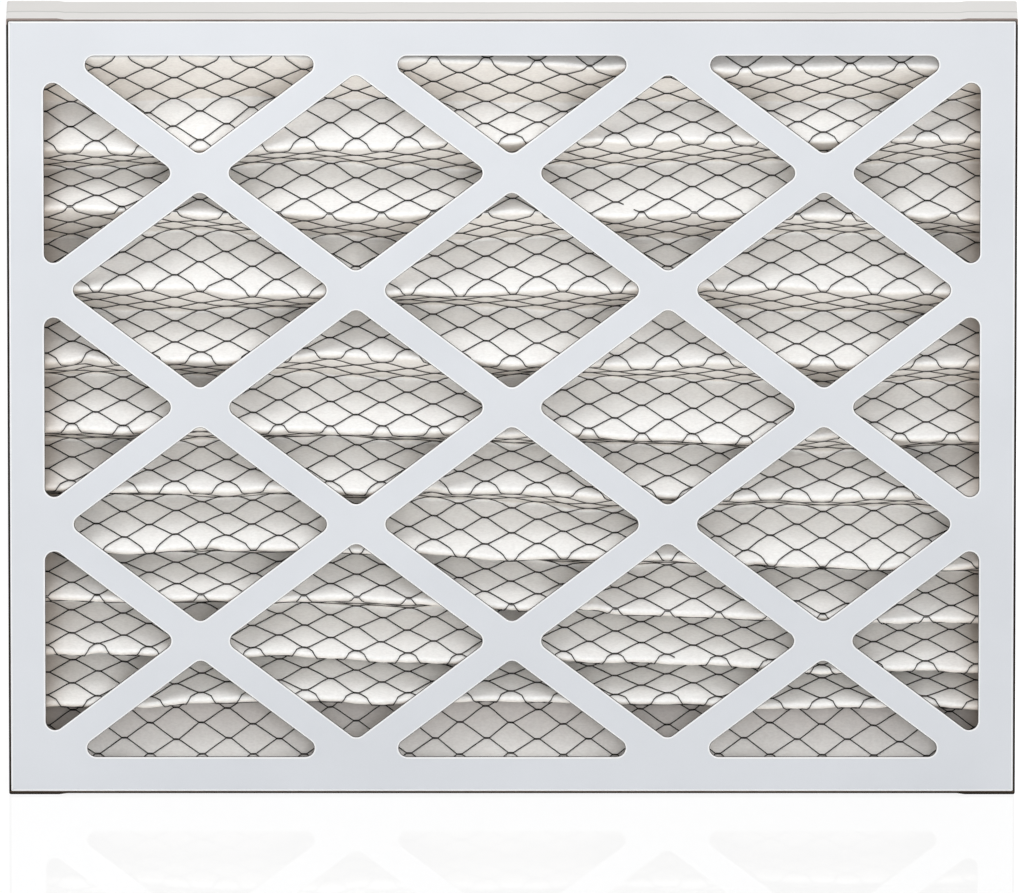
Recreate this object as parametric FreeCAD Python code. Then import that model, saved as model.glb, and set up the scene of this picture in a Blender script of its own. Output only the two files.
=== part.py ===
import FreeCAD, Part
import math
import os

# A pleated panel air filter that stands on its long edge. X runs along its width, Y through its
# depth from the front (minus) to the rear (plus), and Z up. The origin is the middle of its foot.
# It is two die-cut, folded and glued board trays, one inside the other, around a pleated sheet of
# filter media with a sheet of expanded metal laminated to its front. All sizes are millimetres.

# Overall size of the frame
width = 622.3
height = 495.3
depth = 44.45

# Board that both trays are folded from
board = 0.7
face_fold = 0.6
wall_fold = 1.2

# Room for glue between the trays, and between the pleated pack and the trays
glue_room = 0.2
pack_room = 0.3

# Corner tabs, each glued under the wall that it turns onto
tab_length = 31.0
tab_ramp = 5.0
tab_setback = 1.5

# Depth of the front tray's flaps, which are tucked inside the rear tray's walls
flap_depth = 17.0

# Windows of both faces, between crossed diagonal strips
side_border = 22.5
end_border = 23.6
strip_width = 17.4
window_corner = 6.0
steps_to_border = 3

# Pleated media: its thickness, and the radius of a fold at the middle of the sheet
media_thickness = 1.8
media_fold = 2.4

# Heights from the top edge to the first front fold, from fold to fold and from the last one to
# the bottom edge. They are shared out over the room inside the frame.
pleat_rows = (27, 50, 44, 49, 45, 47, 37, 36, 34, 34, 30, 55)

# Part of each row between a front fold and the rear fold under it, at the top and at the bottom,
# where the pleats have sagged
upper_underside = 0.54
lower_underside = 0.31

# Expanded metal: sheet thickness, its gaps to the media and to the ends of the pleats, length of
# a mesh, and size of the bond where four strands meet
metal_thickness = 0.6
metal_gap = 0.1
metal_side_gap = 1.0
mesh_length = 128.0
bond_length = 3.0
bond_height = 2.6

# Places worked out from the sizes above
half_width = width / 2
front = -depth / 2
rear = depth / 2
middle = height / 2
tray_half_width = half_width - board - glue_room
tray_foot = 2 * board + glue_room
pack_half_width = tray_half_width - board - pack_room
pack_foot = tray_foot + 2 * board + pack_room
metal_outside = media_thickness / 2 + metal_gap + metal_thickness
front_fold_y = front + board + pack_room + media_fold + metal_outside
rear_fold_y = rear - board - pack_room - media_fold - media_thickness / 2


def corner_arc(before, corner, after, radius):
    # Ends and middle of the arc that rounds a corner of an outline
    back = unit(before[0] - corner[0], before[1] - corner[1])
    ahead = unit(after[0] - corner[0], after[1] - corner[1])
    half_angle = math.acos(back[0] * ahead[0] + back[1] * ahead[1]) / 2
    reach = radius / math.tan(half_angle)
    inward = unit(back[0] + ahead[0], back[1] + ahead[1])
    to_arc = radius / math.sin(half_angle) - radius
    start = (corner[0] + back[0] * reach, corner[1] + back[1] * reach)
    crown = (corner[0] + inward[0] * to_arc, corner[1] + inward[1] * to_arc)
    end = (corner[0] + ahead[0] * reach, corner[1] + ahead[1] * reach)
    return start, crown, end


def unit(across, up):
    length = math.hypot(across, up)
    return across / length, up / length


def prism(corners, radii, near, far):
    # Solid between two depths, over an outline in X and Z with a radius at each corner
    edges = []
    arcs = []
    for number, corner in enumerate(corners):
        before = corners[number - 1]
        after = corners[(number + 1) % len(corners)]
        if radii[number] > 0:
            arcs.append(corner_arc(before, corner, after, radii[number]))
        else:
            arcs.append((corner, corner, corner))
    for number, (start, crown, end) in enumerate(arcs):
        if radii[number] > 0:
            edges.append(Part.Arc(at(start, near), at(crown, near), at(end, near)).toShape())
        next_start = arcs[(number + 1) % len(arcs)][0]
        edges.append(Part.LineSegment(at(end, near), at(next_start, near)).toShape())
    face = Part.Face(Part.Wire(edges))
    return face.extrude(FreeCAD.Vector(0, far - near, 0))


def at(point, y):
    return FreeCAD.Vector(point[0], y, point[1])


def plain_prism(half, foot, top, radius, near, far):
    # Upright rectangle with four like corners, sharp where the radius is nothing
    corners = ((-half, foot), (half, foot), (half, top), (-half, top))
    return prism(corners, (radius,) * 4, near, far)


def press_outline(solid, y):
    # Folded edges along the outline of the face that lies at y, pressed flat along their score
    outline = []
    for edge in solid.Edges:
        box = edge.BoundBox
        if abs(box.YMin - y) < 1e-6 and abs(box.YMax - y) < 1e-6:
            outline.append(edge)
    return solid.makeChamfer(face_fold, outline)


def window_prisms(near, far):
    # Whole diamonds inside the border and half ones along it
    pitch_x = (half_width - side_border) / steps_to_border
    pitch_z = (middle - end_border) / steps_to_border
    from_strip = pitch_x * pitch_z / math.hypot(pitch_x, pitch_z)
    share = 1 - strip_width / 2 / from_strip
    prisms = []
    steps = range(-steps_to_border, steps_to_border + 1)
    for column in steps:
        for row in steps:
            if (column + row) % 2 == 0:
                continue
            centre_x = column * pitch_x
            centre_z = middle + row * pitch_z
            corners = []
            for side, rise in ((-1, 0), (0, -1), (1, 0), (0, 1)):
                inside = max(abs(column + side), abs(row + rise)) <= steps_to_border
                if inside:
                    corner_x = centre_x + side * pitch_x * share
                    corner_z = centre_z + rise * pitch_z * share
                    corners.append((corner_x, corner_z))
            radii = (window_corner,) * len(corners)
            prisms.append(prism(corners, radii, near, far))
    return Part.Compound(prisms)


def rear_tray():
    # Full depth walls that lie flat against each other's corner tabs, so the long walls bulge by
    # the thickness of the tab near each corner
    tab_end = half_width - tab_length
    flat_end = tab_end - tab_ramp
    top = height
    corners = [(-half_width, 0), (-tab_end, 0), (-flat_end, board), (flat_end, board)]
    corners += [(tab_end, 0), (half_width, 0), (half_width, top), (tab_end, top)]
    corners += [(flat_end, top - board), (-flat_end, top - board), (-tab_end, top), (-half_width, top)]
    radii = [wall_fold if abs(x) == half_width else 0 for x, z in corners]
    tray = press_outline(prism(corners, radii, front, rear), rear)
    inside_half = half_width - board
    inside = plain_prism(inside_half, 2 * board, top - 2 * board, 0, front, rear - board)
    return tray.cut(inside).cut(window_prisms(rear - 2 * board, rear + board))


def front_tray():
    # Face with short flaps turned back on all four sides
    top = height - tray_foot
    back = front + flap_depth
    tray = plain_prism(tray_half_width, tray_foot, top, wall_fold, front, back)
    tray = press_outline(tray, front)
    inside_half = tray_half_width - board
    hollow = plain_prism(inside_half, tray_foot + board, top - board, 0, front + board, back)
    tray = tray.cut(hollow)
    tabs = []
    for side in (-1, 1):
        tab_foot = tray_foot + board
        tabs.append(inner_tab(side, tab_foot))
        tabs.append(inner_tab(side, height - tab_foot - board))
    return tray.fuse(tabs).removeSplitter().cut(window_prisms(front - board, front + 2 * board))


def inner_tab(side, foot):
    # One corner tab of the front tray, glued to the inside of its long flap
    start = side * (tray_half_width - board)
    end = side * (tray_half_width - board - tab_length)
    near = front + board
    length = flap_depth - board - tab_setback
    corner = FreeCAD.Vector(min(start, end), near, foot)
    return Part.makeBox(abs(start - end), length, board, corner)


def fold_heights():
    # Heights of the folds from the top down, by turns at the rear and at the front
    room = height - 2 * pack_foot
    scale = room / sum(pleat_rows)
    rows = [row * scale for row in pleat_rows]
    heights = [height - pack_foot]
    level = heights[0]
    inner_rows = rows[1:-1]
    for number, row in enumerate(rows[:-1]):
        level -= row
        heights.append(level)
        share = upper_underside + (lower_underside - upper_underside) * number / len(inner_rows)
        under = inner_rows[min(number, len(inner_rows) - 1)]
        heights.append(level - share * under)
    heights.append(pack_foot)
    return heights


def flank_normal(start, end, front_first):
    # Direction from the middle of one fold to the flank that leaves it, square to that flank
    run = end[0] - start[0]
    drop = end[1] - start[1]
    length = math.hypot(run, drop)
    along = 2 * media_fold / length
    across = math.sqrt(1 - along * along)
    turn = 1 if front_first else -1
    side = (turn * drop / length, -turn * run / length)
    return run / length * along + side[0] * across, drop / length * along + side[1] * across


def folds(lift):
    # Every fold at a lift in front of the middle of the sheet, from the top down: its middle, its
    # radius, the way it faces, and the points where the flanks meet it (none at the two ends)
    found = []
    arrival = None
    heights = fold_heights()
    centres = [(front_fold_y if n % 2 else rear_fold_y, level) for n, level in enumerate(heights)]
    for number, centre in enumerate(centres):
        at_front = number % 2 == 1
        radius = media_fold + lift if at_front else media_fold - lift
        facing = (-1, 0) if at_front else (1, 0)
        start = arrival
        leave = None
        if number + 1 < len(centres):
            after = centres[number + 1]
            normal = flank_normal(centre, after, at_front)
            next_radius = media_fold - lift if at_front else media_fold + lift
            leave = (centre[0] + radius * normal[0], centre[1] + radius * normal[1])
            arrival = (after[0] - next_radius * normal[0], after[1] - next_radius * normal[1])
        found.append((centre, radius, facing, start, leave))
    return found


def rounded_pleats(lift):
    # Line of the pleats, seen from the side, with round folds
    edges = []
    before = None
    for centre, radius, facing, start, leave in folds(lift):
        crown = (centre[0] + facing[0] * radius, centre[1])
        if start:
            edges.append(Part.LineSegment(side_view(before), side_view(start)).toShape())
        if start and leave:
            edges.append(Part.Arc(side_view(start), side_view(crown), side_view(leave)).toShape())
        elif leave:
            edges.append(half_fold(centre, radius, crown, leave))
        else:
            edges.append(half_fold(centre, radius, start, crown))
        before = leave
    return edges


def creased_pleats(lift):
    # The same line with one flat at each fold, which keeps clear of the round one behind it
    points = []
    for centre, radius, facing, start, leave in folds(lift):
        for point in (start, leave):
            if point is None:
                points.append((centre[0] + facing[0] * radius, centre[1]))
            elif facing[0] < 0:
                points.append(outer_corner(centre, radius, facing, point))
            else:
                points.append(point)
    pairs = zip(points, points[1:])
    return [Part.LineSegment(side_view(a), side_view(b)).toShape() for a, b in pairs]


def outer_corner(centre, radius, facing, touch):
    # Corner outside a round fold, between the flat ahead of it and the flank that touches it
    flank = ((touch[0] - centre[0]) / radius, (touch[1] - centre[1]) / radius)
    toward = unit(facing[0] + flank[0], facing[1] + flank[1])
    reach = radius / (toward[0] * flank[0] + toward[1] * flank[1])
    return centre[0] + reach * toward[0], centre[1] + reach * toward[1]


def half_fold(centre, radius, start, end):
    # Arc of less than half a turn about a centre
    between = unit((start[0] + end[0]) / 2 - centre[0], (start[1] + end[1]) / 2 - centre[1])
    crown = (centre[0] + radius * between[0], centre[1] + radius * between[1])
    return Part.Arc(side_view(start), side_view(crown), side_view(end)).toShape()


def side_view(point):
    return FreeCAD.Vector(0, point[0], point[1])


def pleated_sheet(lower, upper, half_length):
    # Sheet between two lines of pleats
    top_edge = Part.LineSegment(first_point(upper), first_point(lower)).toShape()
    foot_edge = Part.LineSegment(last_point(lower), last_point(upper)).toShape()
    outline = Part.Wire(lower + [foot_edge] + upper[::-1] + [top_edge])
    sheet = Part.Face(outline).extrude(FreeCAD.Vector(2 * half_length, 0, 0))
    sheet.translate(FreeCAD.Vector(-half_length, 0, 0))
    return sheet


def first_point(edges):
    return edges[0].valueAt(edges[0].FirstParameter)


def last_point(edges):
    return edges[-1].valueAt(edges[-1].LastParameter)


def pleated_media():
    half = media_thickness / 2
    return pleated_sheet(rounded_pleats(-half), rounded_pleats(half), pack_half_width)


def expanded_metal():
    # One row of diamond meshes over each fold, each row half a mesh beside the last
    lift = media_thickness / 2 + metal_gap
    half_length = pack_half_width - metal_side_gap
    sheet = pleated_sheet(creased_pleats(lift), creased_pleats(lift + metal_thickness), half_length)
    heights = fold_heights()
    count = math.ceil(half_length / mesh_length) + 1
    reach = (mesh_length - bond_length) / 2
    meshes = []
    for number, level in enumerate(heights):
        rise = drop = media_fold
        if number > 0:
            rise = heights[number - 1] - level - bond_height
        if number + 1 < len(heights):
            drop = level - heights[number + 1] - bond_height
        shift = 0.5 if number % 2 else 0
        for column in range(-count, count + 1):
            x = (column + shift) * mesh_length
            if abs(x) - reach < half_length:
                corners = ((x - reach, level), (x, level - drop), (x + reach, level), (x, level + rise))
                meshes.append(prism(corners, (0,) * 4, front, rear))
    return sheet.cut(Part.Compound(meshes))


os.makedirs("parts", exist_ok=True)
rear_tray().exportStep("parts/rear_tray.step")
front_tray().exportStep("parts/front_tray.step")
pleated_media().exportStep("parts/pleated_media.step")
expanded_metal().exportStep("parts/expanded_metal.step")
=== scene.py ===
import math
import bmesh
import bpy
import numpy as np
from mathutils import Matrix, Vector


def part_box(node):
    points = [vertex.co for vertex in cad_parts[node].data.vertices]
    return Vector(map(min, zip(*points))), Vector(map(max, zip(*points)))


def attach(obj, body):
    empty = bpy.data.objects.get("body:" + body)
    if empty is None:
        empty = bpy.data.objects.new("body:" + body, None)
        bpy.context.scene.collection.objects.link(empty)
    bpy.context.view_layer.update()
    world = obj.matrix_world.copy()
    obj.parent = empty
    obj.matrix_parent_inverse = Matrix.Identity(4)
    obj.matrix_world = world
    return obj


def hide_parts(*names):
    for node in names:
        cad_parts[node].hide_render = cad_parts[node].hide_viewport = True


# Looks of a pleated panel air filter: two die-cut board trays around a pleated sheet of white
# fibre that has expanded metal bonded to its front. All sizes are metres.

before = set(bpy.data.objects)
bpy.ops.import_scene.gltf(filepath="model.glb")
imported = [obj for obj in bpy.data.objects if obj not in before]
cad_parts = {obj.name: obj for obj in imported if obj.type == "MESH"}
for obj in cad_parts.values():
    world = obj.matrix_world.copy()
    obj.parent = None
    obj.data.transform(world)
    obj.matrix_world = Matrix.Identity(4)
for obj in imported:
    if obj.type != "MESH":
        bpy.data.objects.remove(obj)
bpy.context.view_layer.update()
MM = 0.001

# Sizes that the part's source also holds
board = 0.7 * MM
face_fold = 0.6 * MM
flap_depth = 17.0 * MM
side_border = 22.5 * MM
end_border = 23.6 * MM
media_thickness = 1.8 * MM
media_fold = 2.4 * MM
pleat_rows = (27, 50, 44, 49, 45, 47, 37, 36, 34, 34, 30, 55)
upper_underside = 0.54
lower_underside = 0.31

# Places read from the frame, the radius of a front fold at the middle of the sheet, and the depths
# of the centres of the folds
tray_low, tray_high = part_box("rear_tray")
media_low, media_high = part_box("pleated_media")
metal_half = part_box("expanded_metal")[1].x
media_half = media_high.x
front = tray_low.y
rear = tray_high.y
height = tray_high.z
half_width = tray_high.x
front_bend = 1.3 * MM
front_fold_y = media_low.y + front_bend + media_thickness / 2
rear_fold_y = media_high.y - media_fold - media_thickness / 2

# How the soft sheet departs from straight folds. A flank bows by an even part and a waving part.
front_wave = 1.5 * MM
rear_wave = 1.7 * MM
front_draw = 1.0 * MM
flank_bow = 0.9 * MM
even_bow = 0.4
waving_bow = 0.7

# Ripples: how many add up, from which length to which, how much less the short ones rise, and the
# least part of its full height that one has
waves_per_fold = 5
longest_wave = 0.36
shortest_wave = 0.045
short_wave_power = 0.6
least_rise = 0.5

# Pillows between the strands: height on the flanks and at front folds, bare margin beside the
# strands, fullness, how deep the strands press, and where the pillows fade at the sheet's ends.
# The fold zone is the part of the pleats' depth that counts as near a front fold.
pillow_height = 0.5 * MM
fold_pillow = 0.7 * MM
pillow_margin = 0.12
pillow_power = 0.6
strand_dent = 0.25 * MM
pillow_fade = 8 * MM
fold_zone = 0.25

# Rear folds drawn off their places: fold counted from the top edge, how far forward, how far down
drawn_valleys = ((2, 10.0 * MM, 3.0 * MM),)

# Front folds off their places: how far each lies too low, in mm, at five stations across the width
drift_stations = (-0.273, -0.135, 0.0, 0.136, 0.273)
fold_drifts = (
    (-5.5, -5.0, 1.5, 1.8, 3.0),
    (2.6, 3.0, 0.4, -3.8, -0.7),
    (0.0, 0.0, 1.3, 2.6, 0.6),
    (0.0, 1.0, 0.6, -0.6, 0.6),
    (0.0, -1.8, 1.3, 0.8, 3.8),
    (-4.4, -3.8, 1.0, 1.9, 3.6),
    (-2.8, -1.9, 1.0, 1.3, 4.0),
    (0.0, -1.2, 4.4, 8.8, 10.5),
    (-3.8, -1.2, 2.0, 8.8, 13.0),
    (-1.9, 0.0, 3.2, 5.7, 10.0),
    (1.3, 0.0, -3.1, 2.5, 3.5),
)

# Deep dents at front folds: which one from the top, place across, and how far it is pushed in.
# The fold also rises by a part of the push.
pinches = (
    (7, -0.049, 4.0 * MM),
    (9, 0.037, 3.5 * MM),
    (9, 0.052, 3.0 * MM),
    (6, 0.200, 3.5 * MM),
    (5, -0.262, 4.0 * MM),
    (8, -0.185, 3.0 * MM),
    (4, 0.118, 3.0 * MM),
    (10, -0.255, 3.5 * MM),
    (3, 0.268, 3.5 * MM),
    (8, 0.151, 3.0 * MM),
)
pinch_width = 7.0 * MM
pinch_rise = 0.4

# Grid of the sheet: columns across, and samples round each fold and along each flank. A place on
# the sheet stays short of the grid's last line by a hair of a cell.
columns = 210
front_samples = 9
rear_samples = 5
flank_samples = 8
hair = 0.001

# Expanded metal: length of a mesh, half its height, and where its pattern starts across and down
mesh_length = 32.0 * MM
mesh_half_height = 10.8 * MM
mesh_start = -144.2 * MM
mesh_drop = 4.0 * MM

# Strands: width, thickness, how far they lie off the middle of the sheet, how much farther at front
# folds, half the length of a bond, how far a bonded strand lies off its node in widths, how
# unevenly the nodes are placed, how much of a strand's slope is curved, and the bare margin at the
# ends of the sheet
strand_width = 0.6 * MM
strand_thickness = 0.4 * MM
strand_lift = media_thickness / 2 + 0.3 * MM
fold_lift = 0.35 * MM
bond_half = 1.7 * MM
bond_spread = 0.36
node_jitter = 0.35 * MM
strand_curve = 0.2
metal_margin = 0.6 * MM

# Points of a strand from node to node, as parts of its length: where its row comes nearer than the
# reach to a front fold, where it does so to a rear fold, and on a flank. The samples down a row
# tell which it is, and a line with fewer points than the fewest is left out.
fold_reach = 5 * MM
row_samples = 5
front_fold_points = (0, 0.1, 0.2, 0.3, 0.4, 0.5, 0.6, 0.7, 0.8, 0.9)
rear_fold_points = (0, 0.11, 0.35, 0.65, 0.89)
flank_points = (0, 0.11, 0.5, 0.89)
fewest_points = 3

# Broken strands: how many, the part of the length that is gone, and the whole nodes at each end
broken_strands = 6
gap_start = 0.3
gap_end = 0.7
whole_nodes = 3

# Die-cut edges of the windows: the band round them, painted brighter than the face as a highlight,
# the rounded rim, how far the cut slopes inwards, and the number that marks the band's faces until
# they are painted
bright_band = 0.8 * MM
rim_width = 0.35 * MM
cut_slope = 0.5 * MM
band_mark = 9

# Trays are cut into patches through the middles of the windows, halfway between and along the
# outline, so that no triangle is long and thin and no cut grazes a window's corner
patches = 12
outer_part = 4.0 * MM

# What counts as one point, as on a plane, as on a cut and as near the outline, and the turns at an
# edge: flat, a window's rim, the fold at the outline, and sharp in shading
weld = 0.02 * MM
touch = 0.01 * MM
cut_touch = 0.005 * MM
border_zone = 10 * MM
flat_turn = math.radians(0.5)
rim_turn = math.radians(30)
fold_turn = math.radians(60)
sharp_turn = math.radians(20)

# The cut slopes into a window, the way that the sideways faces beside a vertex point: how much
# such a face may point along the depth, and how clear the sum of them must be
side_facing = 0.2
clear_sum = 0.5

# How the faces of a tray are told apart: how far behind the outside they lie, how much they point
# outwards or along the depth, and from where on they are shaded flat
skin = 0.05 * MM
rim_depth = 0.2 * MM
fold_depth = face_fold + 0.1 * MM
flat_out = 0.95
tilted_out = 0.1
cut_out = -0.5
mostly = 0.9
shaded_flat = 0.999

# Bare board: its roughness, and how many grains its tooth has in a metre, torn or cut
matt = 0.9
torn_tooth = 1500
cut_tooth = 900

# Painted shade on the walls, for the slight step over the inner flap's edge: the line's width, its
# ripple and its colour, with the tints of the wall in front of it and, a little darker, behind it
flap_line = 1.3 * MM
flap_ripple = 1.2 * MM
flap_line_shade = (0.70, 0.70, 0.69)
white = (1.0, 1.0, 1.0)
behind_flap_shade = (0.955, 0.95, 0.945)

# Painted shade on the media: how far from its ends it is browned and darkened, where the walls shade
# it, and up to where it is darkened at the foot, under the last fold, with that colour
end_shade_reach = 50.0 * MM
foot_shade_top = 53.0 * MM
foot_shade_colour = (0.80, 0.775, 0.77)

# Camera: the picture's size and the row that the face's middle falls on, in pixels, the width of
# the view at the face, the elevation in degrees and the distance
image_width = 1024
image_height = 893
face_row = 407.5
view_width = 0.6317
camera_elevation = 15.0
camera_distance = 20.0
sensor_width = 36.0
nearest_seen = 0.1
farthest_seen = 100.0

# Light: strength of the world on surfaces, and each lamp's name, place, aim, size and power
ambient_light = 0.62
lamps = (
    ("fill_lamp", (0.3, -3.0, 0.6), (0, 0, 0.25), 1.4, 28),
    ("key_lamp", (-0.55, -0.62, 1.45), (-0.05, 0, 0.35), 0.7, 6.0),
    ("back_lamp", (0.6, 2.9, 0.6), (0, 0, 0.25), 1.4, 20),
)

# Floor: half its size, colour, polish, and the glow that the camera sees mixed into it
floor_half = 6.0
floor_colour = (0.9, 0.9, 0.9, 1)
floor_roughness = 0.02
floor_ior = 2.0
floor_glow = 1.07
glow_share = 0.75

rng = np.random.default_rng(7)


def wave(x, amplitude):
    """A smooth seeded ripple along x, whose height is about the amplitude."""
    total = np.zeros_like(x)
    for length in np.geomspace(longest_wave, shortest_wave, waves_per_fold):
        share = (length / longest_wave) ** short_wave_power
        phase = rng.uniform(0, 2 * math.pi)
        size = rng.uniform(least_rise, 1.0)
        total += amplitude * share * size * np.sin(2 * math.pi * x / length + phase)
    return total


def fold_heights():
    """Heights of the folds from the top down, by turns at the rear and at the front."""
    scale = (media_high.z - media_low.z) / sum(pleat_rows)
    rows = [row * scale for row in pleat_rows]
    inner_rows = rows[1:-1]
    level = media_high.z
    heights = [level]
    for number, row in enumerate(rows[:-1]):
        level -= row
        heights.append(level)
        share = upper_underside + (lower_underside - upper_underside) * number / len(inner_rows)
        under = inner_rows[min(number, len(inner_rows) - 1)]
        heights.append(level - share * under)
    heights.append(media_low.z)
    return heights


def drift_of(number, xs):
    """How far a fold lies too low at each x. A rear fold follows the two front folds beside it."""
    if number % 2 == 1:
        return np.interp(xs, drift_stations, fold_drifts[(number - 1) // 2]) * MM
    above = drift_of(number - 1, xs)
    below = drift_of(number + 1, xs) if number // 2 < len(fold_drifts) else 0.0
    return (above + below) / 2


def bend_of(number):
    """Radius of the middle of the sheet round a fold."""
    return front_bend if number % 2 == 1 else media_fold


def fold_centres(xs, wavy):
    """Depth and height of the centre of each fold's bend at each x."""
    heights = fold_heights()
    ys = np.zeros((len(xs), len(heights)))
    zs = np.zeros((len(xs), len(heights)))
    for number, level in enumerate(heights):
        at_front = number % 2 == 1
        ys[:, number] = front_fold_y if at_front else rear_fold_y
        zs[:, number] = level
        for fold, forward, down in drawn_valleys:
            if fold == number:
                ys[:, number] -= forward
                zs[:, number] -= down
        if not wavy or number in (0, len(heights) - 1):
            continue
        zs[:, number] -= drift_of(number, xs)
        if at_front:
            ys[:, number] += front_draw + np.abs(wave(xs, front_draw))
            zs[:, number] += wave(xs, front_wave)
        else:
            ys[:, number] -= np.abs(wave(xs, front_draw))
            zs[:, number] += wave(xs, rear_wave)
    if wavy:
        for fold, place, push in pinches:
            number = 2 * fold - 1
            dent = push * np.exp(-(((xs - place) / pinch_width) ** 2))
            ys[:, number] += dent
            zs[:, number] += dent * pinch_rise
    return ys, zs


def flank_normals(ys, zs):
    """The way the front of each flank faces, as depth and height, from fold to fold."""
    normals = []
    for number in range(ys.shape[1] - 1):
        run = ys[:, number + 1] - ys[:, number]
        drop = zs[:, number + 1] - zs[:, number]
        length = np.hypot(run, drop)
        along = (bend_of(number) + bend_of(number + 1)) / length
        across = np.sqrt(1 - along * along)
        turn = 1 if number % 2 == 1 else -1
        normal_y = run / length * along + turn * drop / length * across
        normal_z = drop / length * along - turn * run / length * across
        normals.append((normal_y, normal_z))
    return normals


def pleat_grid(xs, wavy):
    """Points on the middle of the sheet and the way its front faces, seen from the side.

    Both are arrays over x, over the samples from the top down, and over depth and height.
    """
    ys, zs = fold_centres(xs, wavy)
    normals = flank_normals(ys, zs)
    count = ys.shape[1]
    points = []
    facing = []
    for number in range(count):
        at_front = number % 2 == 1
        turn = 1 if at_front else -1
        side = -turn
        first = np.zeros(len(xs))
        last = np.zeros(len(xs))
        if number > 0:
            before = normals[number - 1]
            first = np.arctan2(-before[1], -side * before[0])
        if number < count - 1:
            after = normals[number]
            last = np.arctan2(after[1], side * after[0])
        samples = front_samples if at_front else rear_samples
        bend = bend_of(number)
        for step in range(samples):
            angle = first + (last - first) * step / (samples - 1)
            across = side * np.cos(angle)
            up = np.sin(angle)
            points.append((ys[:, number] + bend * across, zs[:, number] + bend * up))
            facing.append((turn * across, turn * up))
        if number == count - 1:
            continue
        normal = normals[number]
        start = points[-1]
        bend = bend_of(number + 1)
        end = (ys[:, number + 1] - bend * normal[0], zs[:, number + 1] - bend * normal[1])
        bow = flank_bow * even_bow + wave(xs, flank_bow * waving_bow) if wavy else np.zeros(len(xs))
        for step in range(1, flank_samples + 1):
            share = step / (flank_samples + 1)
            push = bow * math.sin(math.pi * share) * turn
            y = start[0] + (end[0] - start[0]) * share + push * normal[0]
            z = start[1] + (end[1] - start[1]) * share + push * normal[1]
            points.append((y, z))
            facing.append((turn * normal[0], turn * normal[1]))
    return np.array(points).transpose(2, 0, 1), np.array(facing).transpose(2, 0, 1)


# The straight-folded sheet gives the places down its length, and the wavy one its form
sheet_xs = np.linspace(-media_half, media_half, columns + 1)
straight, _ = pleat_grid(np.zeros(1), False)
straight_depths = straight[0][:, 0]
steps_down = np.hypot(*np.diff(straight[0], axis=0).T)
sheet_s = np.concatenate([[0], np.cumsum(steps_down)])
sheet_length = sheet_s[-1]
sheet_points, sheet_facing = pleat_grid(sheet_xs, True)


def near_front_fold():
    """From 0 on the flanks to 1 at each front fold, along the samples of the sheet."""
    low, high = straight_depths.min(), straight_depths.max()
    return np.clip(1 - (straight_depths - low) / (high - low) / fold_zone, 0, 1)


def pillow(x, s):
    """0 at the strands of the expanded metal and 1 in the middle of each mesh."""
    across = (x - mesh_start) / mesh_length
    down = (s - mesh_drop) / (2 * mesh_half_height)
    best = np.zeros(np.broadcast(x, s).shape)
    for shift in (0.0, 0.5):
        u = np.abs((across + shift + 0.5) % 1 - 0.5) * 2
        v = np.abs((down + shift) % 1 - 0.5) * 2
        best = np.maximum(best, 1 - u - v)
    return np.clip((best - pillow_margin) / (1 - pillow_margin), 0, 1) ** pillow_power


def new_object(name, vertices, faces):
    mesh = bpy.data.meshes.new(name)
    mesh.from_pydata(vertices, [], faces)
    mesh.validate()
    mesh.update()
    piece = bpy.data.objects.new(name, mesh)
    bpy.context.scene.collection.objects.link(piece)
    return piece


def grid_faces(places, flip):
    """Faces between the points of a grid, given the points' numbers as an array."""
    faces = []
    for row, next_row in zip(places[:-1].tolist(), places[1:].tolist()):
        for a, b, c, d in zip(row, next_row, next_row[1:], row[1:]):
            faces.append((a, d, c, b) if flip else (a, b, c, d))
    return faces


def edge_faces(fine, coarse, flip):
    """Faces along an edge of the sheet, from its fine front to its coarse rear."""
    fine = fine.tolist()
    coarse = coarse.tolist()
    faces = []
    for k in range(len(coarse) - 1):
        a, b, c = fine[2 * k:2 * k + 3]
        d, e = coarse[k + 1], coarse[k]
        faces.append((a, e, d, c, b) if flip else (a, b, c, d, e))
    return faces


def make_media():
    """The sheet: a fine front, a rear with every second row and column, and its edges."""
    x = sheet_xs[:, None]
    s = sheet_s[None, :]
    height_here = pillow_height + (fold_pillow - pillow_height) * near_front_fold()[None, :]
    to_end = sheet_length / 2 - np.abs(s - sheet_length / 2)
    fade = np.clip(to_end / pillow_fade, 0, 1)
    lift = media_thickness / 2 - strand_dent + height_here * pillow(x, s) * fade
    front_side = sheet_points + lift[:, :, None] * sheet_facing
    rear_side = sheet_points - media_thickness / 2 * sheet_facing
    all_xs = np.repeat(x, len(sheet_s), 1)
    front_xyz = np.dstack([all_xs, front_side])
    rear_xyz = np.dstack([all_xs, rear_side])[::2, ::2]
    vertices = np.concatenate([front_xyz.reshape(-1, 3), rear_xyz.reshape(-1, 3)])
    fine = np.arange(all_xs.size).reshape(all_xs.shape)
    coarse = np.arange(all_xs.size, len(vertices)).reshape(rear_xyz.shape[:2])
    faces = grid_faces(fine, False) + grid_faces(coarse, True)
    for end, flip in ((0, True), (-1, False)):
        faces += edge_faces(fine[:, end], coarse[:, end], flip)
        faces += edge_faces(fine[end], coarse[end], not flip)
    piece = new_object("pleated_media_sheet", vertices.tolist(), faces)
    piece.data.polygons.foreach_set("use_smooth", [True] * len(piece.data.polygons))
    return piece


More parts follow.
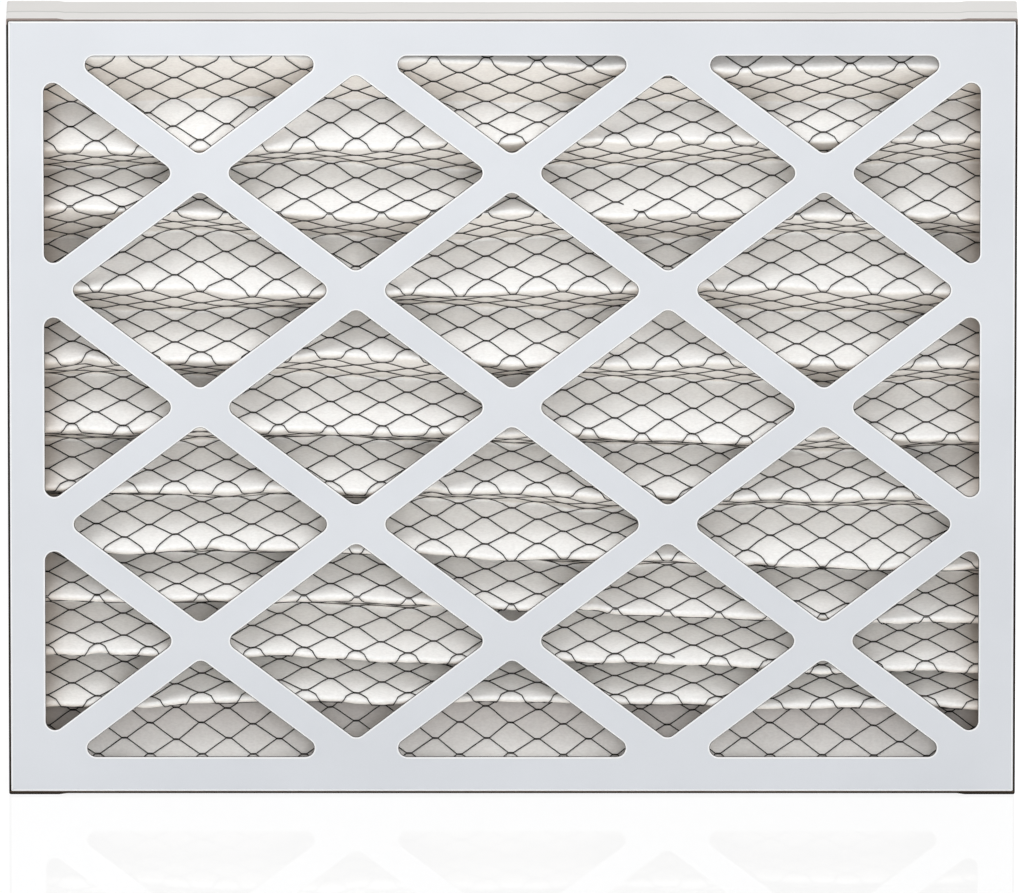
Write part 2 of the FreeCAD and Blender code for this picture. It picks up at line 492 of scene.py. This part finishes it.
def on_sheet(x, s):
    """Point on the middle of the wavy sheet and the way it faces, at a place across and down."""
    column = (x - sheet_xs[0]) / (sheet_xs[1] - sheet_xs[0])
    column = np.clip(column, 0, len(sheet_xs) - 1 - hair)
    sample = np.interp(s, sheet_s, np.arange(len(sheet_s)))
    sample = np.clip(sample, 0, len(sheet_s) - 1 - hair)
    i = column.astype(int)
    j = sample.astype(int)
    u = (column - i)[:, None]
    v = (sample - j)[:, None]
    found = []
    for values in (sheet_points, sheet_facing):
        upper = values[i, j] * (1 - u) + values[i + 1, j] * u
        lower = values[i, j + 1] * (1 - u) + values[i + 1, j + 1] * u
        found.append(upper * (1 - v) + lower * v)
    point, facing = found
    return point, facing / np.linalg.norm(facing, axis=1)[:, None]


def strand_line(x, s):
    """The middle line of a strand, in space, and the way its flat side faces."""
    point, facing = on_sheet(x, s)
    lift = strand_lift + fold_lift * np.interp(s, sheet_s, near_front_fold())
    middle = np.column_stack([x, point + lift[:, None] * facing])
    flat = np.column_stack([np.zeros(len(x)), facing])
    return middle, flat


def strand_mesh(middle, flat, start):
    """A ribbon of rectangular section along a line, whose points are numbered from the start."""
    tangent = np.gradient(middle, axis=0)
    tangent /= np.linalg.norm(tangent, axis=1)[:, None]
    flat = flat - (flat * tangent).sum(1)[:, None] * tangent
    flat /= np.linalg.norm(flat, axis=1)[:, None]
    across = np.cross(tangent, flat)
    corners = []
    for side, up in ((-1, -1), (1, -1), (1, 1), (-1, 1)):
        offset = side * strand_width / 2 * across + up * strand_thickness / 2 * flat
        corners.append(middle + offset)
    vertices = np.stack(corners, 1).reshape(-1, 3)
    faces = []
    for i in range(len(middle) - 1):
        for k in range(4):
            a = start + 4 * i + k
            b = start + 4 * i + (k + 1) % 4
            faces.append((a, b, b + 4, a + 4))
    last = start + 4 * (len(middle) - 1)
    faces.append((start + 3, start + 2, start + 1, start))
    faces.append((last, last + 1, last + 2, last + 3))
    return vertices, faces


def points_of_row(row):
    """Where the strands of a row have their points: closest where the row crosses a front fold."""
    top = mesh_drop + row * mesh_half_height
    between = np.linspace(top, top + mesh_half_height, row_samples)
    depths = np.interp(between, sheet_s, straight_depths)
    if depths.min() < straight_depths.min() + fold_reach:
        return front_fold_points
    if depths.max() > straight_depths.max() - fold_reach:
        return rear_fold_points
    return flank_points


def metal_lines():
    """Places across and down the sheet of each unbroken line of strands, as lists of pairs."""
    first_row = math.floor(-mesh_drop / mesh_half_height) + 1
    last_row = math.ceil((sheet_length - mesh_drop) / mesh_half_height) - 1
    first_node = math.floor((-metal_half - mesh_start) / (mesh_length / 2)) - 1
    last_node = math.ceil((metal_half - mesh_start) / (mesh_length / 2)) + 1
    rows = last_row - first_row + 1
    nodes = last_node - first_node + 1
    jitter = rng.normal(0, node_jitter, (rows + 1, nodes, 2))
    row_points = [points_of_row(first_row + row) for row in range(rows - 1)]
    crossing = [row for row in range(rows - 1) if row_points[row] is front_fold_points]
    broken = set()
    for _ in range(broken_strands):
        broken.add((int(rng.choice(crossing)), int(rng.integers(whole_nodes, nodes - whole_nodes))))

    def node_place(row, node, is_upper):
        x = mesh_start + (first_node + node) * mesh_length / 2 + jitter[row, node, 0]
        s = mesh_drop + (first_row + row) * mesh_half_height + jitter[row, node, 1]
        return x, s + (bond_spread if is_upper else -bond_spread) * strand_width

    lines = []
    for row in range(rows - 1):
        line = []
        for node in range(nodes - 1):
            upper = (first_row + row + first_node + node) % 2 == 0
            x0, s0 = node_place(row if upper else row + 1, node, upper)
            x1, s1 = node_place(row + 1 if upper else row, node + 1, not upper)
            level = bond_half / (x1 - x0)
            for share in row_points[row]:
                if (row, node) in broken and gap_start < share < gap_end:
                    lines.append(line)
                    line = []
                    continue
                t = min(1, max(0, (share - level) / (1 - 2 * level)))
                rise = t * t * (3 - 2 * t) * strand_curve + t * (1 - strand_curve)
                line.append((x0 + (x1 - x0) * share, s0 + (s1 - s0) * rise))
        lines.append(line)
    return [line for line in lines if len(line) >= fewest_points]


def make_metal():
    """Zigzag strands, each bonded by turns to the one above and the one below."""
    vertices = []
    faces = []
    count = 0
    for line in metal_lines():
        xs, ss = np.array(line).T
        on_metal = (ss > metal_margin) & (ss < sheet_length - metal_margin)
        kept = np.flatnonzero(on_metal & (np.abs(xs) < metal_half))
        if len(kept) < fewest_points:
            continue
        part = slice(kept[0], kept[-1] + 1)
        middle, flat = strand_line(xs[part], np.clip(ss[part], 0, sheet_length))
        more, more_faces = strand_mesh(middle, flat, count)
        vertices.append(more)
        faces += more_faces
        count += len(more)
    return new_object("expanded_metal_strands", np.concatenate(vertices).tolist(), faces)


def node_material(name):
    material = bpy.data.materials.new(name)
    material.use_nodes = True
    nodes = material.node_tree.nodes
    return material, nodes, material.node_tree.links, nodes["Principled BSDF"]


def add_place(nodes, links):
    """The object's own coordinates, as three outputs."""
    place = nodes.new("ShaderNodeTexCoord")
    split = nodes.new("ShaderNodeSeparateXYZ")
    links.new(place.outputs["Object"], split.inputs["Vector"])
    return split.outputs


def add_noise(nodes, links, scale, detail, stretch=(1, 1, 1)):
    """Noise over the object's own coordinates, as an output."""
    place = nodes.new("ShaderNodeTexCoord")
    mapping = nodes.new("ShaderNodeMapping")
    mapping.inputs["Scale"].default_value = stretch
    links.new(place.outputs["Object"], mapping.inputs["Vector"])
    texture = nodes.new("ShaderNodeTexNoise")
    texture.inputs["Scale"].default_value = scale
    texture.inputs["Detail"].default_value = detail
    links.new(mapping.outputs["Vector"], texture.inputs["Vector"])
    return texture.outputs["Fac"]


def add_ramp(nodes, links, source, stops):
    """Colours over a value, given as places and colours."""
    ramp = nodes.new("ShaderNodeValToRGB")
    while len(ramp.color_ramp.elements) < len(stops):
        ramp.color_ramp.elements.new(0.5)
    for element, (place, colour) in zip(ramp.color_ramp.elements, stops):
        element.position = place
        element.color = (*colour, 1)
    links.new(source, ramp.inputs["Fac"])
    return ramp.outputs["Color"]


def add_range(nodes, links, source, start, end, new_start=0.0, new_end=1.0):
    """A value carried from one range to another, and held at its ends."""
    span = nodes.new("ShaderNodeMapRange")
    span.inputs["From Min"].default_value = start
    span.inputs["From Max"].default_value = end
    span.inputs["To Min"].default_value = new_start
    span.inputs["To Max"].default_value = new_end
    links.new(source, span.inputs["Value"])
    return span.outputs["Result"]


def add_math(nodes, links, operation, *sources):
    step = nodes.new("ShaderNodeMath")
    step.operation = operation
    for source, socket in zip(sources, step.inputs):
        links.new(source, socket)
    return step.outputs[0]


def multiply(nodes, links, first, second):
    mix = nodes.new("ShaderNodeMix")
    mix.data_type = "RGBA"
    mix.blend_type = "MULTIPLY"
    mix.inputs["Factor"].default_value = 1.0
    links.new(first, mix.inputs["A"])
    links.new(second, mix.inputs["B"])
    return mix.outputs["Result"]


def add_bump(nodes, links, shader, height, strength, distance):
    bump = nodes.new("ShaderNodeBump")
    bump.inputs["Strength"].default_value = strength
    bump.inputs["Distance"].default_value = distance
    links.new(height, bump.inputs["Height"])
    links.new(bump.outputs["Normal"], shader.inputs["Normal"])


def board_material(name, dark, light, roughness, fine=2600, shine=0.5):
    """Board with a faint cloudiness and a fine tooth."""
    material, nodes, links, shader = node_material(name)
    cloud = add_noise(nodes, links, scale=9, detail=3)
    tint = add_ramp(nodes, links, cloud, ((0.35, dark), (0.65, light)))
    tooth = add_noise(nodes, links, scale=fine, detail=2)
    grain = add_ramp(nodes, links, tooth, ((0.3, (0.965, 0.965, 0.965)), (0.7, white)))
    colour = multiply(nodes, links, tint, grain)
    links.new(colour, shader.inputs["Base Color"])
    shader.inputs["Roughness"].default_value = roughness
    shader.inputs["Specular IOR Level"].default_value = shine
    add_bump(nodes, links, shader, tooth, strength=0.15, distance=0.05 * MM)
    return material


def wall_material():
    """Coated walls, with a thin wavy grey line of painted shade over the edge of the flap inside, and the
    wall painted a little darker behind it.
    """
    flap_edge = front + flap_depth
    material = board_material("coated_wall_painted_shade", (0.715, 0.70, 0.68), (0.75, 0.735, 0.715), 0.5)
    nodes = material.node_tree.nodes
    links = material.node_tree.links
    shader = nodes["Principled BSDF"]
    coating = shader.inputs["Base Color"].links[0].from_socket
    place = add_place(nodes, links)
    ripple = add_noise(nodes, links, scale=38, detail=3, stretch=(1, 0, 1))
    first_edge = flap_edge - flap_ripple
    last_edge = flap_edge + flap_ripple
    shift = add_range(nodes, links, ripple, start=0.3, end=0.7, new_start=first_edge, new_end=last_edge)
    past = add_math(nodes, links, "SUBTRACT", place["Y"], shift)
    reach = add_range(nodes, links, past, -flap_depth, flap_depth)
    # The ramp runs over twice the flap's depth, with the middle of the line at its middle
    half_line = 0.5 * flap_line / (2 * flap_depth)
    stops = (
        (0.0, white),
        (0.5 - 2 * half_line, white),
        (0.5 - half_line, flap_line_shade),
        (0.5 + half_line, flap_line_shade),
        (0.5 + 3 * half_line, behind_flap_shade),
        (1.0, behind_flap_shade),
    )
    # Painted shade: the grey line over the flap's edge, and the wall a little darker behind it
    band = add_ramp(nodes, links, reach, stops)
    colour = multiply(nodes, links, coating, band)
    links.new(colour, shader.inputs["Base Color"])
    return material


def fibre_material():
    """White needled fibre, with painted shade: warmer and darker on undersides, brown and darker near the
    ends, and darker under the last fold at the foot.
    """
    material, nodes, links, shader = node_material("needled_fibre")
    cloud = add_noise(nodes, links, scale=160, detail=4)
    colour = add_ramp(nodes, links, cloud, ((0.3, (0.945, 0.935, 0.92)), (0.7, (0.98, 0.98, 0.965))))
    fibres = add_noise(nodes, links, scale=800, detail=5, stretch=(0.6, 1, 1))
    surface = nodes.new("ShaderNodeNewGeometry")
    facing = nodes.new("ShaderNodeSeparateXYZ")
    links.new(surface.outputs["Normal"], facing.inputs["Vector"])
    # Painted shade: faces turned downwards are tinted warmer and slightly darker
    under = add_range(nodes, links, facing.outputs["Z"], start=-0.6, end=0.3)
    place = add_place(nodes, links)
    out = add_math(nodes, links, "ABSOLUTE", place["X"])
    # Painted shade: brown and darker towards the ends, beside the bare brown walls
    end = add_range(nodes, links, out, media_half - end_shade_reach, media_half)
    # Painted shade: darker under the last front fold, near the foot
    low = add_range(nodes, links, place["Z"], 0.0, foot_shade_top)
    for source, stops in (
        (fibres, ((0.35, (0.92, 0.92, 0.92)), (0.65, white))),
        (under, ((0.0, (0.995, 0.955, 0.905)), (1.0, white))),
        (end, ((0.0, white), (0.35, (0.96, 0.945, 0.93)), (0.6, (0.68, 0.62, 0.57)))),
        (low, ((0.4, white), (0.86, foot_shade_colour), (0.96, foot_shade_colour), (1.0, white))),
    ):
        tint = add_ramp(nodes, links, source, stops)
        colour = multiply(nodes, links, colour, tint)
    links.new(colour, shader.inputs["Base Color"])
    shader.inputs["Roughness"].default_value = 0.95
    shader.inputs["Sheen Weight"].default_value = 0.1
    add_bump(nodes, links, shader, fibres, strength=0.35, distance=0.25 * MM)
    return material


def steel_material():
    """Dull dark steel with stains."""
    material, nodes, links, shader = node_material("dull_steel")
    stain = add_noise(nodes, links, scale=220, detail=3)
    colour = add_ramp(nodes, links, stain, ((0.35, (0.02, 0.019, 0.018)), (0.7, (0.05, 0.048, 0.046))))
    links.new(colour, shader.inputs["Base Color"])
    shader.inputs["Metallic"].default_value = 0.6
    shader.inputs["Roughness"].default_value = 0.45
    add_bump(nodes, links, shader, stain, strength=0.2, distance=0.1 * MM)
    return material


def cut_across(shape, place, facing):
    everything = shape.verts[:] + shape.edges[:] + shape.faces[:]
    bmesh.ops.bisect_plane(shape, geom=everything, dist=cut_touch, plane_co=place, plane_no=facing)


def on_plane(part, y):
    return all(abs(vertex.co.y - y) < touch for vertex in part.verts)


def by_border(place):
    beside = abs(place.x) > half_width - border_zone
    return beside or not border_zone < place.z < height - border_zone


def is_rim(edge, outer_y):
    """Whether the knife or the fold has left this edge of a tray's outside to be rounded."""
    if not on_plane(edge, outer_y) or not edge.is_manifold:
        return False
    turn = edge.calc_face_angle()
    return turn > rim_turn and (turn < fold_turn or not by_border(edge.verts[0].co))


def cut_into_patches(shape):
    for step in range(1, patches):
        share = step / patches
        across = (half_width - side_border) * (2 * share - 1)
        up = end_border + (height - 2 * end_border) * share
        cut_across(shape, Vector((across, 0, 0)), Vector((1, 0, 0)))
        cut_across(shape, Vector((0, 0, up)), Vector((0, 0, 1)))
    for side in (-1, 1):
        across = side * (half_width - outer_part)
        up = height / 2 + side * (height / 2 - outer_part)
        cut_across(shape, Vector((across, 0, 0)), Vector((1, 0, 0)))
        cut_across(shape, Vector((0, 0, up)), Vector((0, 0, 1)))


def tray_copy(node, name, outer_y):
    """A copy of a tray's mesh, with die-cut window edges and a softer outline on its face.

    The knife leaves a rounded rim on the coated side, and a cut that slopes into the window.
    """
    outward = 1 if outer_y > 0 else -1
    inner_y = outer_y - outward * board
    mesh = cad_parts[node].data.copy()
    mesh.name = name
    mesh.materials.clear()
    piece = bpy.data.objects.new(name, mesh)
    bpy.context.scene.collection.objects.link(piece)
    shape = bmesh.new()
    shape.from_mesh(mesh)
    bmesh.ops.remove_doubles(shape, verts=shape.verts, dist=weld)
    bmesh.ops.dissolve_limit(shape, angle_limit=flat_turn, verts=shape.verts, edges=shape.edges)
    cut_into_patches(shape)
    for vertex in shape.verts:
        if abs(vertex.co.y - inner_y) > touch or by_border(vertex.co):
            continue
        into_window = Vector((0, 0, 0))
        for face in vertex.link_faces:
            if abs(face.normal.y) < side_facing:
                into_window += face.normal
        if into_window.length > clear_sum:
            vertex.co += into_window.normalized() * cut_slope
    outer_faces = []
    for face in shape.faces:
        if on_plane(face, outer_y) and face.normal.y * outward > mostly:
            outer_faces.append(face)
    band = bmesh.ops.inset_region(shape, faces=outer_faces, thickness=bright_band, use_even_offset=True)
    for face in band["faces"]:
        face.material_index = band_mark
    rims = [edge for edge in shape.edges if is_rim(edge, outer_y)]
    bmesh.ops.bevel(shape, geom=rims, offset=rim_width, segments=2, affect="EDGES", profile=0.5,
                    clamp_overlap=True, material=-1)
    shape.to_mesh(mesh)
    shape.free()
    return piece


def surface_of(face, outer_y, has_cut_outline):
    """Which surface of a tray a face belongs to, by its place and the way it faces."""
    outward = 1 if outer_y > 0 else -1
    facing_out = face.normal.y * outward
    depth_in = (outer_y - face.center.y) * outward
    border = by_border(face.center)
    away = face.normal.x * face.center.x + face.normal.z * (face.center.z - height / 2)
    # Painted highlight: the band and the rounded rim round the windows get the brighter rim colour
    if face.material_index == band_mark:
        return "rim"
    # Painted shadow: the rear tray's cut edge round the face is near black at the sides and bottom, for
    # the shadowed gap between the trays; at the top it keeps the board's brown
    if has_cut_outline and abs(face.center.y - front) < skin and face.normal.y < -mostly:
        return "edge" if face.center.z > height - outer_part else "shadow_edge"
    if facing_out > flat_out and depth_in < skin:
        return "face"
    if tilted_out < facing_out and depth_in < rim_depth:
        return "rim"
    # Painted shadow: on the front tray the fold round the face is near black, for the shadowed gap beside
    # the rear tray; on the rear tray it is wall
    if border and tilted_out < facing_out < flat_out and depth_in < fold_depth:
        return "wall" if outer_y > 0 else "shadow_edge"
    # Cut edges of the windows, darkened as painted shade
    if not border and depth_in < board + skin and facing_out > cut_out:
        return "cut"
    if border and away > 0 and abs(face.normal.y) < mostly:
        return "wall"
    return "bare"


def paint_tray(piece, outer_y, materials, has_cut_outline):
    """Gives each face of a tray its material, and shades its bends smoothly."""
    surfaces = list(materials)
    for surface in surfaces:
        piece.data.materials.append(materials[surface])
    for face in piece.data.polygons:
        face.material_index = surfaces.index(surface_of(face, outer_y, has_cut_outline))
    piece.data.set_sharp_from_angle(angle=sharp_turn)
    rounded = [abs(face.normal.y) < shaded_flat for face in piece.data.polygons]
    piece.data.polygons.foreach_set("use_smooth", rounded)
    weighted = piece.modifiers.new("even_shading", "WEIGHTED_NORMAL")
    weighted.keep_sharp = True


def make_floor():
    """Polished white floor, which shows a faint reflection and meets the white world unseen."""
    corners = []
    for x, y in ((-1, -1), (1, -1), (1, 1), (-1, 1)):
        corners.append((x * floor_half, y * floor_half, 0))
    floor = new_object("floor", corners, [(0, 1, 2, 3)])
    material, nodes, links, shader = node_material("white_floor")
    shader.inputs["Base Color"].default_value = floor_colour
    shader.inputs["Roughness"].default_value = floor_roughness
    shader.inputs["IOR"].default_value = floor_ior
    output = nodes["Material Output"]
    glow = nodes.new("ShaderNodeEmission")
    glow.inputs["Strength"].default_value = floor_glow
    path = nodes.new("ShaderNodeLightPath")
    seen = path.outputs["Is Camera Ray"]
    share = add_range(nodes, links, seen, start=0.0, end=1.0, new_start=0.0, new_end=glow_share)
    mix = nodes.new("ShaderNodeMixShader")
    links.new(share, mix.inputs["Fac"])
    links.new(shader.outputs["BSDF"], mix.inputs[1])
    links.new(glow.outputs["Emission"], mix.inputs[2])
    links.new(mix.outputs["Shader"], output.inputs["Surface"])
    floor.data.materials.append(material)


def make_world():
    """White wherever it is seen or mirrored, and a weaker light on surfaces."""
    world = bpy.data.worlds.new("studio")
    bpy.context.scene.world = world
    world.use_nodes = True
    nodes = world.node_tree.nodes
    links = world.node_tree.links
    background = nodes["Background"]
    background.inputs["Color"].default_value = (1, 1, 1, 1)
    path = nodes.new("ShaderNodeLightPath")
    seen = add_math(nodes, links, "MAXIMUM", path.outputs["Is Camera Ray"], path.outputs["Is Glossy Ray"])
    seen = add_math(nodes, links, "MAXIMUM", seen, path.outputs["Is Transmission Ray"])
    strength = add_range(nodes, links, seen, start=0.0, end=1.0, new_start=ambient_light, new_end=1.0)
    links.new(strength, background.inputs["Strength"])


def make_lamp(name, place, aim, size, power):
    lamp = bpy.data.lights.new(name, "AREA")
    lamp.shape = "SQUARE"
    lamp.size = size
    lamp.energy = power
    holder = bpy.data.objects.new(name, lamp)
    holder.location = place
    holder.rotation_euler = (Vector(aim) - Vector(place)).to_track_quat("-Z", "Y").to_euler()
    bpy.context.scene.collection.objects.link(holder)


def make_camera():
    """Far off and fifteen degrees above the level, so that the face stays a true rectangle."""
    tilt = math.radians(camera_elevation)
    back = Vector((0, -math.cos(tilt), math.sin(tilt)))
    up = Vector((0, math.sin(tilt), math.cos(tilt)))
    face_middle = Vector((0, front, height / 2))
    target = face_middle - up * (image_height / 2 - face_row) * view_width / image_width
    camera = bpy.data.cameras.new("camera")
    camera.sensor_width = sensor_width
    camera.lens = sensor_width * camera_distance / view_width
    camera.clip_start = nearest_seen
    camera.clip_end = farthest_seen
    holder = bpy.data.objects.new("camera", camera)
    holder.location = target + back * camera_distance
    holder.rotation_euler = (-back).to_track_quat("-Z", "Y").to_euler()
    bpy.context.scene.collection.objects.link(holder)
    bpy.context.scene.camera = holder


# Trays
tray_materials = {
    "face": board_material("coated_face", (0.66, 0.683, 0.72), (0.69, 0.713, 0.75), 0.5),
    "wall": wall_material(),
    "bare": board_material("bare_board", (0.33, 0.235, 0.155), (0.42, 0.31, 0.21), matt, torn_tooth),
    # Cut edges of the windows: the board's brown core, darkened to near black as painted shade along the
    # windows' edges
    "cut": board_material("die_cut_painted_shade", (0.035, 0.028, 0.025), (0.07, 0.06, 0.055), matt, torn_tooth, 0.2),
    # Painted highlight: the band and rim round the windows, brighter than the face's coating
    "rim": board_material("rim_painted_highlight", (0.84, 0.85, 0.86), (0.88, 0.885, 0.89), 0.4),
    "edge": board_material("cut_board", (0.22, 0.175, 0.155), (0.38, 0.32, 0.29), matt, cut_tooth),
    # Near-black painted shadow for the gap between the trays
    "shadow_edge": board_material(
        "cut_board_painted_shadow", (0.008, 0.006, 0.005), (0.022, 0.016, 0.013), matt, cut_tooth, 0.1
    ),
}
front_piece = tray_copy("front_tray", "front_tray_board", front)
paint_tray(front_piece, front, tray_materials, False)
rear_piece = tray_copy("rear_tray", "rear_tray_board", rear)
paint_tray(rear_piece, rear, tray_materials, True)

# Pleated pack
media_piece = make_media()
media_piece.data.materials.append(fibre_material())
metal_piece = make_metal()
metal_piece.data.materials.append(steel_material())

for piece, node, slot in (
    (front_piece, "front_tray", "white_board"),
    (rear_piece, "rear_tray", "white_board"),
    (media_piece, "pleated_media", "white_media"),
    (metal_piece, "expanded_metal", "mesh_metal"),
):
    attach(piece, "root")
    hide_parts(node)

# Camera, floor and light
make_camera()
make_floor()
make_world()
for lamp in lamps:
    make_lamp(*lamp)
bpy.context.scene.view_settings.view_transform = "Standard"
